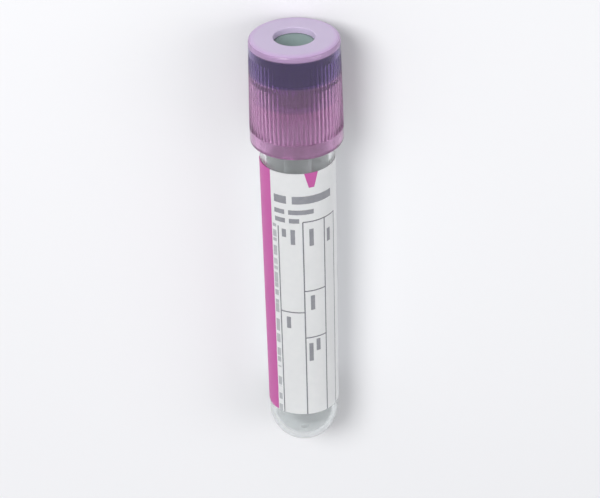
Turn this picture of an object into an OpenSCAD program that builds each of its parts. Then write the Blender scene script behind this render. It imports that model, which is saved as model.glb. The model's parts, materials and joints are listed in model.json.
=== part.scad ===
// Blood collection tube: a round-bottomed clear tube with a paper label, closed by a
// rubber stopper that a translucent ribbed shield holds. Each piece is drawn upright, with
// the tube's lowest point at z = 0, and the whole is then laid down as it comes to rest:
// on its round end and on the rim of the shield's skirt, with the label's print upwards.

/* [Tube] */
// Length of the tube, from its round end to its rim
tube_len = 75; // [65:0.5:100]
// Outside diameter at the rim
rim_d = 13; // [12.6:0.1:16]
// Outside diameter where the round end starts
end_d = 12.4; // [10:0.1:12.6]
// Thickness of the tube's wall
tube_wall = 1.05; // [0.8:0.05:1.4]
// Radius of the rim's two edges
rim_round = 0.35; // [0.1:0.05:0.4]

/* [Label] */
// Height of the label, along the tube
label_len = 50; // [20:1:50]
// Distance from the tube's rim down to the label's top edge
label_drop = 16.4; // [14:0.1:18]
// Thickness of the paper
label_t = 0.1; // [0.06:0.01:0.2]
// Thickness of the glue between paper and tube
glue_t = 0.02; // [0.01:0.01:0.05]
// Width of the clear window that the label leaves at the back
window_w = 5.5; // [3:0.5:12]

/* [Stopper] */
// How far the flange stands out past the tube's rim
flange_lip = 0.35; // [0.25:0.05:0.8]
// Thickness of the flange
flange_h = 5; // [4:0.1:7]
// Radius of the flange's edges
flange_round = 0.3; // [0.1:0.05:0.4]
// Depth that the plug reaches into the tube
plug_len = 4.5; // [4:0.1:8]
// Clearance round the plug in the tube's bore
plug_fit = 0.03; // [0.01:0.01:0.1]
// Height of the plug's lead-in chamfer
plug_lead = 0.6; // [0.2:0.1:1]
// Gap between the flange and the tube's rim
seat_gap = 0.05; // [0.02:0.01:0.2]
// Diameter of the dish in the top
dish_d = 6.2; // [3:0.1:7]
// Depth of the dish
dish_h = 1.2; // [0.4:0.1:2]
// Thickness of the rubber that the needle goes through
septum_h = 3.4; // [2:0.1:4.5]
// Diameter of the hollow underneath, at its mouth
hollow_d = 6.4; // [4:0.1:7.5]
// Draft of the hollow's side, in degrees
hollow_draft = 6; // [1:0.5:8]

/* [Shield] */
// Height of the shield
shield_h = 19.2; // [16:0.1:22]
// Thickness of the flat top
top_t = 1.1; // [0.8:0.05:1.6]
// Thickness of the side wall
shield_wall = 0.8; // [0.7:0.05:1.2]
// Diameter of the needle hole
port_d = 7; // [5:0.1:9]
// Radius of the needle hole's upper edge
port_round = 0.2; // [0.1:0.05:0.4]
// Radius of the top's outer edge
edge_round = 0.75; // [0.3:0.05:1]
// How far the skirt's rim stands out past the top
flare = 0.3; // [0.2:0.05:0.45]
// Gap between the shield and the stopper's flange
pocket_gap = 0.05; // [0.02:0.01:0.1]
// Clearance between the retaining bead and the tube's rim
bead_gap = 0.12; // [0.08:0.01:0.2]
// Height of the retaining bead's land
bead_h = 0.6; // [0.3:0.1:1.2]
// Height of the smooth band above the skirt's edge
band_h = 2.7; // [1.5:0.1:5]
// Number of ribs round the skirt
rib_count = 60; // [40:2:64]
// Radius of the round flutes between the ribs
flute_r = 0.42; // [0.3:0.01:0.5]
// Depth of the flutes at the smooth band
flute_deep = 0.26; // [0.1:0.02:0.3]
// Depth of the flutes at their upper ends
flute_shallow = 0.1; // [0.06:0.02:0.3]
// Distance from the flat top down to the flutes' upper ends
flute_drop = 2.6; // [2:0.1:6]

/* [Hidden] */
$fn = 96;

rim_r = rim_d / 2;
end_r = end_d / 2;
taper = (rim_r - end_r) / (tube_len - end_r);

flange_r = rim_r + flange_lip;
flange_low = tube_len + seat_gap;
flange_top = flange_low + flange_h;
plug_low = flange_low - plug_len;
plug_r = tube_r(plug_low) - tube_wall - plug_fit;
dish_r = dish_d / 2;
dish_ball_r = (dish_r * dish_r + dish_h * dish_h) / (2 * dish_h);
hollow_r = hollow_d / 2;
hollow_depth = flange_top - dish_h - septum_h - plug_low;
hollow_top_r = hollow_r - hollow_depth * tan(hollow_draft);

pocket_r = flange_r + pocket_gap;
pocket_top = flange_top + pocket_gap;
pocket_low = flange_low - pocket_gap;
top_r = pocket_r + shield_wall;
skirt_r = top_r + flare;
shield_top = pocket_top + top_t;
shield_low = shield_top - shield_h;
port_r = port_d / 2;
lip_r = shield_wall / 2;
bead_r = rim_r + bead_gap;
bead_low = pocket_low - bead_h;
lead_in = skirt_r - shield_wall - bead_r;

// The tube lies on the ball of its round end and on the round lip of the skirt, so its axis
// rises towards the shield by the angle of the line that touches both.
lip_out = skirt_r - lip_r;
lip_up = shield_low + lip_r - end_r;
lean = atan2(lip_out, lip_up) - asin((end_r - lip_r) / norm([lip_out, lip_up]));
rest_z = end_r * (1 - sin(lean));
reach_low = end_r * cos(lean) - end_r;
reach_high = (shield_top - edge_round) * cos(lean) + (top_r - edge_round) * sin(lean) + edge_round;

// Outside radius of the tube at a height.
function tube_r(z) = end_r + (z - end_r) * taper;

// Lays an upright piece down: its axis along +X, its local -X side upwards, and the middle
// of the whole part over the origin.
module laid_down() {
    translate([-(reach_low + reach_high) / 2, 0, rest_z])
        rotate([0, 90 - lean, 0])
            children();
}

// Half section of a round-bottomed taper that is open at the top: 'inset' is how far it lies
// inside the tube's outside.
module taper_section(inset, top) {
    intersection() {
        union() {
            translate([0, end_r]) circle(r = end_r - inset);
            polygon([
                [0, end_r], [end_r - inset, end_r], [tube_r(top) - inset, top], [0, top]
            ]);
        }
        square([rim_r * 2, top]);
    }
}

// Half section of the tube's wall, with both edges of its rim rounded.
module tube_section() {
    rim_low = tube_len - rim_round;
    rim_mid_out = rim_r - rim_round;
    rim_mid_in = rim_r - tube_wall + rim_round;
    difference() {
        taper_section(0, rim_low);
        taper_section(tube_wall, tube_len);
    }
    intersection() {
        translate([rim_r - tube_wall, rim_low - rim_round]) square([tube_wall, rim_round * 2]);
        union() {
            translate([rim_mid_out, rim_low]) circle(r = rim_round);
            translate([rim_mid_in, rim_low]) circle(r = rim_round);
            translate([rim_mid_in, rim_low]) square([rim_mid_out - rim_mid_in, rim_round]);
        }
    }
}

module tube() {
    color([0.86, 0.9, 0.92, 0.45])
        laid_down()
            rotate_extrude() tube_section();
}

// The label is a strip of paper that follows the tube's taper and stops short of meeting
// itself underneath, so that the contents can be seen.
module label() {
    label_top = tube_len - label_drop;
    label_low = label_top - label_len;
    low_r = tube_r(label_low) + glue_t;
    high_r = tube_r(label_top) + glue_t;
    half_window = asin(window_w / 2 / end_r);
    color([0.95, 0.96, 0.96])
        laid_down()
            rotate([0, 0, half_window])
                rotate_extrude(angle = 360 - 2 * half_window)
                    polygon([
                        [low_r, label_low], [low_r + label_t, label_low],
                        [high_r + label_t, label_top], [high_r, label_top]
                    ]);
}

// Half section of the solid stopper: a flange with rounded edges over a plug with a lead-in.
module stopper_blank() {
    flange_mid_r = flange_r - flange_round;
    square_h = flange_h - 2 * flange_round;
    translate([0, flange_low]) square([flange_mid_r, flange_h]);
    translate([0, flange_low + flange_round]) square([flange_r, square_h]);
    for (z = [flange_low + flange_round, flange_top - flange_round])
        translate([flange_mid_r, z]) circle(r = flange_round);
    polygon([
        [0, plug_low], [plug_r - plug_lead / 2, plug_low], [plug_r, plug_low + plug_lead],
        [plug_r, flange_low], [0, flange_low]
    ]);
}

// One piece of rubber, dished where the needle enters and hollow underneath, so that the
// needle has only the septum to pierce.
module stopper() {
    color([0.47, 0.53, 0.53])
        laid_down()
            rotate_extrude()
                difference() {
                    intersection() {
                        stopper_blank();
                        translate([0, plug_low]) square([flange_r, flange_top - plug_low]);
                    }
                    translate([0, flange_top - dish_h + dish_ball_r]) circle(r = dish_ball_r);
                    polygon([
                        [0, plug_low], [hollow_r, plug_low],
                        [hollow_top_r, plug_low + hollow_depth], [0, plug_low + hollow_depth]
                    ]);
                }
}

// Half section of the shield: a flat top with a hole, a side that flares a little down to a
// smooth band, a round lip, and inside it the pocket for the flange and the retaining bead.
module shield_section() {
    edge_r = top_r - edge_round;
    edge_z = shield_top - edge_round;
    lip_z = shield_low + lip_r;
    skirt_in_r = skirt_r - shield_wall;
    port_z = shield_top - port_round;
    difference() {
        union() {
            polygon([
                [0, lip_z], [skirt_r, lip_z], [skirt_r, shield_low + band_h],
                [top_r, edge_z], [edge_r, shield_top], [0, shield_top]
            ]);
            translate([edge_r, edge_z]) circle(r = edge_round);
            translate([lip_out, lip_z]) circle(r = lip_r);
        }
        polygon([
            [0, shield_low - lip_r], [lip_out, shield_low - lip_r], [lip_out, lip_z - lip_r],
            [skirt_in_r, lip_z], [skirt_in_r, bead_low - lead_in], [bead_r, bead_low],
            [bead_r, pocket_low], [pocket_r, pocket_low], [pocket_r, pocket_top], [0, pocket_top]
        ]);
        translate([0, pocket_top]) square([port_r, top_t]);
        difference() {
            translate([port_r, port_z]) square(port_round);
            translate([port_r + port_round, port_z]) circle(r = port_round);
        }
    }
}

// Round flutes cut into the leaning side, which leave ribs between them: deep at the smooth
// band and shallow under the top.
module flutes() {
    flute_len = shield_h - band_h - flute_drop;
    side_len = shield_h - band_h - edge_round;
    floor_low_r = skirt_r - flute_deep;
    floor_high_r = skirt_r - flare * flute_len / side_len - flute_shallow;
    floor_lean = atan2(floor_low_r - floor_high_r, flute_len);
    for (i = [0 : rib_count - 1])
        rotate([0, 0, (i + 0.5) * 360 / rib_count])
            translate([floor_low_r + flute_r, 0, shield_low + band_h])
                rotate([0, -floor_lean, 0])
                    cylinder(h = flute_len, r = flute_r, $fn = 24);
}

module shield() {
    color([0.6, 0.47, 0.68, 0.75])
        laid_down()
            difference() {
                rotate_extrude() shield_section();
                flutes();
            }
}

tube();
label();
stopper();
shield();
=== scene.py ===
"""Looks of a blood collection tube that lies on a pale floor: finishes, floor, light and camera.

Places and distances are in metres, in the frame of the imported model. What lies on the label, the
closure or the round end is in millimetres, measured as each group of values says.
"""

import json
import math

import bpy
from mathutils import Matrix, Vector


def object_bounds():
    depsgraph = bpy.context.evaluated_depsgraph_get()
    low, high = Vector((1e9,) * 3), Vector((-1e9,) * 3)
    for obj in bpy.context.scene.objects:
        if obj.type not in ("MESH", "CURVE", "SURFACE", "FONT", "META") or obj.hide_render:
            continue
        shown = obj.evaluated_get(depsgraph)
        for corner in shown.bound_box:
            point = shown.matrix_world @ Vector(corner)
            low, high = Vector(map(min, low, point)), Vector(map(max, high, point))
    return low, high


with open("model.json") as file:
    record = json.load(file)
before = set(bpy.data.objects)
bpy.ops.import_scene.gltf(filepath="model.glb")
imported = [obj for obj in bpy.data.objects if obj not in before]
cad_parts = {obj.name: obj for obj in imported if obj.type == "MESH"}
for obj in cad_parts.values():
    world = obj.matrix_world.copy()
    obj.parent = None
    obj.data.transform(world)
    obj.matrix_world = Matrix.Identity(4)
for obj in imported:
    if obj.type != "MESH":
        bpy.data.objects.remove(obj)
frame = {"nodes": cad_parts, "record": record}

CAD_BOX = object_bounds()
MM = 0.001

MOUNTS = {mount["name"]: mount for mount in frame["record"]["mounts"]}
ALONG = Vector(MOUNTS["closure_top"]["axis"]).normalized()
ACROSS = Vector((0, -1, 0))
FRONT = ACROSS.cross(ALONG)
ROUND_END = Vector(MOUNTS["round_end"]["pos_m"])


def height_of(point):
    """How far up the tube's axis a point lies, from the tip of its round end."""
    return (Vector(point) - ROUND_END).dot(ALONG)


CLOSURE_TOP = height_of(MOUNTS["closure_top"]["pos_m"])
LABEL_TOP = max(height_of(vertex.co) for vertex in frame["nodes"]["label"].data.vertices)


# ----------------------------------------------------------------------- material maths


class Value:
    """A number in a node tree: arithmetic on it adds Math nodes."""

    def __init__(self, nodes, socket):
        self.nodes = nodes
        self.socket = socket

    def math(self, operation, *others, clamp=False):
        settings = {"operation": operation, "use_clamp": clamp}
        inputs = dict(enumerate([self, *others]))
        return Value(self.nodes, self.nodes.add("Math", settings, inputs).outputs[0])

    def __add__(self, other):
        return self.math("ADD", other)

    def __sub__(self, other):
        return self.math("SUBTRACT", other)

    def __mul__(self, other):
        return self.math("MULTIPLY", other)

    def __truediv__(self, other):
        return self.math("DIVIDE", other)

    def __neg__(self):
        return self * -1

    def __rsub__(self, other):
        return -self + other

    __radd__ = __add__
    __rmul__ = __mul__

    def between(self, low, high):
        """1 where the number lies between two limits, and 0 elsewhere."""
        return self.math("COMPARE", (low + high) / 2, (high - low) / 2)

    def above(self, limit):
        return self.math("GREATER_THAN", limit)

    def below(self, limit):
        return self.math("LESS_THAN", limit)

    def ramp(self, low, high):
        """Rises from 0 at one limit to 1 at the other."""
        return ((self - low) / (high - low)).math("MULTIPLY", 1.0, clamp=True)

    def past(self, place, blur):
        """Rises from 0 to 1 over a soft edge, which reaches as far as its blur to each side."""
        return self.ramp(place - blur, place + blur)

    def either(self, other):
        return self.math("MAXIMUM", other)

    def size(self):
        return self.math("ABSOLUTE")


class Nodes:
    """A node tree, with the one way in which nodes are added to it."""

    def __init__(self, tree):
        self.tree = tree

    def add(self, kind, settings=(), inputs=()):
        made = self.tree.nodes.new("ShaderNode" + kind)
        for key, value in dict(settings).items():
            setattr(made, key, value)
        for key, value in dict(inputs).items():
            self.feed(made.inputs[key], value)
        return made

    def feed(self, socket, value):
        source = value.socket if isinstance(value, Value) else value
        if isinstance(source, bpy.types.NodeSocket):
            self.tree.links.new(source, socket)
        else:
            socket.default_value = source


class Finish(Nodes):
    """A material round one Principled shader, whose fixed values come first."""

    def __init__(self, name, fixed):
        self.material = bpy.data.materials.new(name)
        self.material.use_nodes = True
        super().__init__(self.material.node_tree)
        self.shader = self.tree.nodes["Principled BSDF"]
        for socket, value in fixed.items():
            self.shader.inputs[socket].default_value = value
        self.place = self.add("TexCoord").outputs["Object"]

    def colour(self, value):
        self.feed(self.shader.inputs["Base Color"], value)

    def roughness(self, value):
        self.feed(self.shader.inputs["Roughness"], value)

    def cover(self, share, kind, inputs):
        """Lays a second shader over the first one, as strongly as its share says."""
        second = self.add(kind, {}, inputs)
        shaders = {0: share, 1: self.shader.outputs[0], 2: second.outputs[0]}
        both = self.add("MixShader", {}, shaders)
        self.feed(self.tree.nodes["Material Output"].inputs["Surface"], both.outputs[0])

    def bump(self, height, strength, distance):
        inputs = {"Height": height, "Strength": strength, "Distance": distance}
        self.feed(self.shader.inputs["Normal"], self.add("Bump", {}, inputs).outputs["Normal"])

    def dot(self, vector, direction):
        inputs = {0: vector, 1: tuple(direction)}
        made = self.add("VectorMath", {"operation": "DOT_PRODUCT"}, inputs)
        return Value(self, made.outputs["Value"])

    def noise(self, scale, detail=2.0, place=None):
        inputs = {"Vector": place or self.place, "Scale": scale, "Detail": detail}
        return Value(self, self.add("TexNoise", {}, inputs).outputs["Fac"])

    def drawn_out(self, scale):
        """Object coordinates scaled along the tube, across it and towards its front."""
        turn = Matrix((ALONG, ACROSS, FRONT)).to_euler()
        inputs = {"Vector": self.place, "Rotation": turn, "Scale": scale}
        return self.add("Mapping", {}, inputs).outputs["Vector"]

    def mix(self, factor, first, second):
        inputs = {"Factor": factor, 6: first, 7: second}
        return self.add("Mix", {"data_type": "RGBA"}, inputs).outputs[2]

    def around(self):
        """Each point's height up the axis, angle round it from the front, and distance from it."""
        inputs = {0: self.place, 1: tuple(ROUND_END)}
        centred = self.add("VectorMath", {"operation": "SUBTRACT"}, inputs).outputs["Vector"]
        right, front = self.dot(centred, ACROSS), self.dot(centred, FRONT)
        radius = (right * right + front * front).math("SQRT")
        return self.dot(centred, ALONG), right.math("ARCTAN2", front), radius

    def below_top(self):
        """Each point's depth below the closure's flat top and its distance from the axis, in mm."""
        height, _, radius = self.around()
        return (CLOSURE_TOP - height) / MM, radius / MM


def rgb(red, green, blue):
    """A colour as it looks on screen, in the linear values that a shader takes."""
    def linear(level):
        level /= 255
        return level / 12.92 if level <= 0.04045 else ((level + 0.055) / 1.055) ** 2.4
    return (linear(red), linear(green), linear(blue), 1.0)


# ---------------------------------------------------------------------------- finishes


# An edge is a pair: where a shade begins to change, and where it has changed.

# The gate mark at the tip of the round end: its edge, and its reach up the tube.
GATE_EDGE = (0.5, 1.1)
GATE_REACH = 2.0

# The closure, as depths below its flat top and distances from its axis. The needle hole's wall is
# above PORT_DEPTH and within PORT_R, and the rubber's side, painted darker as shade under the
# shield, is below SHADED_SIDE_DEPTH and past SHADED_SIDE_R.
LIP_FOOT = 1.15
FLANGE_FOOT = 6.1
PLUG_FOOT = 10.65
PORT_DEPTH = 1.2
PORT_R = 3.9
SHADED_SIDE_DEPTH = 1.4
SHADED_SIDE_R = 5.0
SKIRT_INSIDE_R = 7.3
TOP_EDGE = (0.05, 0.35)
ROUNDED_EDGE = (6.4, 7.7)


def clear_plastic():
    """Polished clear plastic, with a moulding's faint haze and flow lines, and its gate mark."""
    finish = Finish("clear_plastic", {"IOR": 1.57, "Transmission Weight": 0.93})
    height, _, radius = finish.around()
    gate = (1.0 - (radius / MM).ramp(*GATE_EDGE)) * (height / MM).below(GATE_REACH)
    haze = finish.noise(420.0, 3.0)
    finish.colour(finish.mix(haze, rgb(230, 234, 234), rgb(238, 241, 241)))
    finish.roughness(0.02 + 0.05 * haze + 0.4 * gate)
    flow = finish.noise(90.0, 1.0, finish.drawn_out((0.25, 1.0, 1.0)))
    finish.bump(flow, 0.12, 0.05 * MM)
    return finish.material


def rubber():
    """Grey-green rubber: matt on the dish, and painted darker on its side as shade under the
    shield.
    """
    finish = Finish("stopper_rubber", {"Specular IOR Level": 0.35})
    drop, radius = finish.below_top()
    # Painted shade: the side of the plug and flange, where little light reaches under the shield,
    # is coloured dark.
    shaded_side = radius.above(SHADED_SIDE_R) * drop.above(SHADED_SIDE_DEPTH)
    cloud = finish.noise(300.0, 3.0)
    grain = finish.noise(2600.0, 2.0)
    dry = finish.mix(cloud, rgb(118, 135, 133), rgb(137, 154, 151))
    finish.colour(finish.mix(shaded_side, dry, rgb(44, 54, 56)))
    finish.roughness(0.52 + 0.2 * grain)
    finish.bump(grain, 0.25, 0.03 * MM)
    return finish.material


def lavender_plastic():
    """Translucent plastic: milky and matt on the flat top, clearer down the side.

    The thick lip round the top is half milky and pinker. Below it the side has painted shade: it is
    coloured darkest where the stopper's flange lies behind it, and a little darker inside, by the
    plug.
    """
    finish = Finish("lavender_plastic", {"IOR": 1.5, "Transmission Weight": 0.9})
    drop, radius = finish.below_top()
    port = drop.below(PORT_DEPTH) * radius.below(PORT_R)
    top = (1.0 - drop.ramp(*TOP_EDGE)).either(port)
    lip = 1.0 - drop.past(LIP_FOOT, 0.15)
    cloud = finish.noise(160.0, 2.0)
    skirt = finish.mix(cloud, rgb(218, 166, 211), rgb(226, 176, 217))
    # Painted shade: the stopper's shaded rubber seen through the wall, as darker side colours by
    # the plug and the flange.
    plug_shade = finish.mix(cloud, rgb(138, 108, 176), rgb(146, 116, 184))
    flange_shade = finish.mix(cloud, rgb(136, 110, 180), rgb(146, 120, 188))
    plug_shade_mask = radius.below(SKIRT_INSIDE_R) * (1.0 - drop.past(PLUG_FOOT, 0.25))
    side = finish.mix(plug_shade_mask, skirt, plug_shade)
    side = finish.mix(drop.past(FLANGE_FOOT, 0.2), flange_shade, side)
    side = finish.mix(lip, side, skirt)
    matt = finish.mix(cloud, rgb(204, 188, 218), rgb(214, 200, 226))
    milky = finish.mix(radius.ramp(*ROUNDED_EDGE), matt, rgb(206, 174, 218))
    finish.colour(finish.mix(top, side, milky))
    milk = {"Base Color": milky, "Roughness": 0.45}
    finish.cover(top * 0.35 + lip * 0.45, "BsdfPrincipled", milk)
    grain = finish.noise(3200.0, 2.0)
    finish.roughness(0.12 + 0.4 * top + 0.06 * grain)
    finish.bump(grain, 0.2, 0.02 * MM)
    return finish.material


# The label's print, across from the middle of its front and down from its top edge. Across is
# measured round the paper, at the radius of its top edge. An upright rule has its place and its
# top, a level one its left and right ends and its place, and a bar in place of words has its left
# and right sides, its top and its foot.
LABEL_R = 6.55
MAGENTA = rgb(190, 58, 150)
DARK_INK = rgb(62, 60, 78)
STRIPE = (-10.6, -5.3)
POINTER_PLACE = 2.3
POINTER_HALF_W = 1.25
POINTER_NARROWING = 0.27
POINTER_LEN = 2.8
UPRIGHT_RULES = ((-3.9, 10.6), (0.6, 9.5), (4.7, 9.5), (7.4, 9.5))
LEVEL_RULES = ((0.6, 7.4, 9.5), (-3.9, 0.6, 28.0), (0.6, 4.7, 23.6), (0.6, 4.7, 33.4))
RULE_W = 0.22
BARS = (
    (-4.6, -2.2, 4.4, 5.9), (-1.2, 6.4, 4.4, 5.9),
    (-4.6, -2.6, 7.1, 8.0), (-1.9, 2.6, 7.1, 8.0),
    (-4.5, -2.5, 8.8, 9.7), (-1.8, 0.0, 8.8, 9.7),
    (-3.2, -2.4, 11.0, 12.6), (-1.6, -0.8, 11.0, 14.0),
    (1.7, 2.5, 11.0, 14.4), (5.3, 6.1, 12.0, 14.6),
    (1.7, 2.5, 24.6, 27.6), (-2.8, -2.0, 29.0, 31.4),
    (1.2, 2.0, 34.6, 38.4), (2.6, 3.4, 33.9, 36.4),
)
FINE_PRINT = (-5.1, -4.3)
FINE_PRINT_TOP = 10.4


def printed_paper():
    """White coated paper with a magenta stripe, a ruled table and bars in place of its words."""
    finish = Finish("label_paper", {
        "Specular IOR Level": 0.4,
        "Subsurface Weight": 0.8,
        "Subsurface Radius": (1.0, 1.0, 1.0),
        "Subsurface Scale": 0.5 * MM,
    })
    height, angle, _ = finish.around()
    edge = (finish.noise(1500.0, 2.0) - 0.5) * 0.05
    across = angle * LABEL_R + edge
    down = (LABEL_TOP - height) / MM + edge

    half_w = POINTER_HALF_W - down * POINTER_NARROWING
    pointer = (half_w - (across - POINTER_PLACE).size()).above(0.0) * down.below(POINTER_LEN)
    magenta = across.between(*STRIPE).either(pointer)

    letters = 0.8 + 0.1 * finish.noise(1300.0, 1.0)
    dashes = finish.noise(700.0, 1.0, finish.drawn_out((1.0, 0.0, 0.0))).ramp(0.44, 0.5)
    ink = across.between(*FINE_PRINT) * down.above(FINE_PRINT_TOP) * dashes * 0.6
    for left, right, top, foot in BARS:
        ink = ink.either(across.between(left, right) * down.between(top, foot) * letters)
    for place, top in UPRIGHT_RULES:
        rule = across.between(place - RULE_W / 2, place + RULE_W / 2)
        ink = ink.either(rule * down.above(top))
    for left, right, place in LEVEL_RULES:
        rule = down.between(place - RULE_W / 2, place + RULE_W / 2)
        ink = ink.either(rule * across.between(left, right))

    fibre = finish.noise(900.0, 4.0)
    paper = finish.mix(fibre, rgb(240, 243, 245), rgb(248, 250, 251))
    striped = finish.mix(magenta * 0.94, paper, MAGENTA)
    finish.colour(finish.mix(ink * 0.86, striped, DARK_INK))
    finish.roughness(0.42 + 0.15 * fibre)
    finish.bump(fibre, 0.12, 0.02 * MM)
    return finish.material


def dress(node, material):
    """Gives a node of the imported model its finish."""
    mesh = frame["nodes"][node].data
    mesh.materials.clear()
    mesh.materials.append(material)


dress("tube", clear_plastic())
dress("label", printed_paper())
dress("stopper", rubber())
dress("shield", lavender_plastic())


# ------------------------------------------------------------------ floor, light, camera


BACKGROUND = rgb(243, 243, 245)
SKY = (0.97, 0.98, 1.0, 1.0)
SKY_STRENGTH = 0.5
FLOOR_FADE = (0.1, 0.5)

# The camera's distance from the middle of the closure's top, how far up the object it aims as a
# share of the whole, and its angles in degrees.
CAMERA_DISTANCE = 0.36
CAMERA_AIM = 0.49
CAMERA_RISE = 26.2
CAMERA_ROLL = -1.6


def floor():
    """A pale floor that takes the object's shadow, and is plain background further off."""
    bpy.ops.object.select_all(action="DESELECT")
    bpy.ops.mesh.primitive_plane_add(size=4.0, location=(0, 0, CAD_BOX[0].z - 0.02 * MM))
    plane = bpy.context.object
    plane.name = "floor"
    finish = Finish("floor_paint", {"Roughness": 0.6})
    cloud = finish.noise(6.0, 2.0)
    finish.colour(finish.mix(cloud, rgb(232, 232, 234), rgb(237, 237, 239)))
    length = finish.add("VectorMath", {"operation": "LENGTH"}, {0: finish.place})
    distance = Value(finish, length.outputs["Value"])
    finish.cover(distance.ramp(*FLOOR_FADE), "Emission", {"Color": BACKGROUND})
    plane.data.materials.append(finish.material)


def softbox(name, place, size, watts):
    """A round soft lamp that faces the floor under the middle of the object."""
    light = bpy.data.lights.new(name, "AREA")
    light.shape = "DISK"
    light.size = size
    light.energy = watts
    lamp = bpy.data.objects.new(name, light)
    lamp.location = place
    lamp.rotation_mode = "QUATERNION"
    lamp.rotation_quaternion = (-Vector(place)).to_track_quat("-Z", "Y")
    bpy.context.collection.objects.link(lamp)


def sky():
    """Soft light from all round, and a plain backdrop where the camera or plastic sees it."""
    world = bpy.data.worlds.new("studio")
    bpy.context.scene.world = world
    world.use_nodes = True
    nodes = Nodes(world.node_tree)
    light = nodes.tree.nodes["Background"]
    light.inputs["Color"].default_value = SKY
    light.inputs["Strength"].default_value = SKY_STRENGTH
    seen = nodes.add("Background", {}, {"Color": BACKGROUND})
    path = nodes.add("LightPath").outputs
    plain = Value(nodes, path["Is Camera Ray"])
    for kind in ("Is Glossy Ray", "Is Transmission Ray"):
        plain = plain.either(path[kind])
    both = nodes.add("MixShader", {}, {0: plain, 1: light.outputs[0], 2: seen.outputs[0]})
    nodes.feed(nodes.tree.nodes["World Output"].inputs["Surface"], both.outputs[0])


def camera():
    """Looks at the printed front, from far enough past the closure that its flat top shows."""
    rise = math.radians(CAMERA_RISE)
    closure = ROUND_END + ALONG * CLOSURE_TOP
    place = closure + (FRONT * math.cos(rise) + ALONG * math.sin(rise)) * CAMERA_DISTANCE
    target = ROUND_END + ALONG * (CLOSURE_TOP * CAMERA_AIM)
    back = (place - target).normalized()
    up = back.cross(ACROSS).normalized()
    lens = bpy.data.cameras.new("camera")
    lens.lens = 130.0
    lens.sensor_width = 36.0
    lens.clip_start = 0.01
    lens.clip_end = 20.0
    made = bpy.data.objects.new("camera", lens)
    turn = Matrix((up.cross(back), up, back)).transposed().to_4x4()
    roll = Matrix.Rotation(math.radians(CAMERA_ROLL), 4, back)
    made.matrix_world = Matrix.Translation(place) @ roll @ turn
    bpy.context.collection.objects.link(made)
    bpy.context.scene.camera = made


floor()
sky()
softbox("key", place=(0.35, 0.3, 0.6), size=0.35, watts=3.7)
softbox("fill", place=(0.1, -0.6, 0.45), size=0.5, watts=1.3)
camera()
bpy.context.scene.view_settings.view_transform = "Standard"
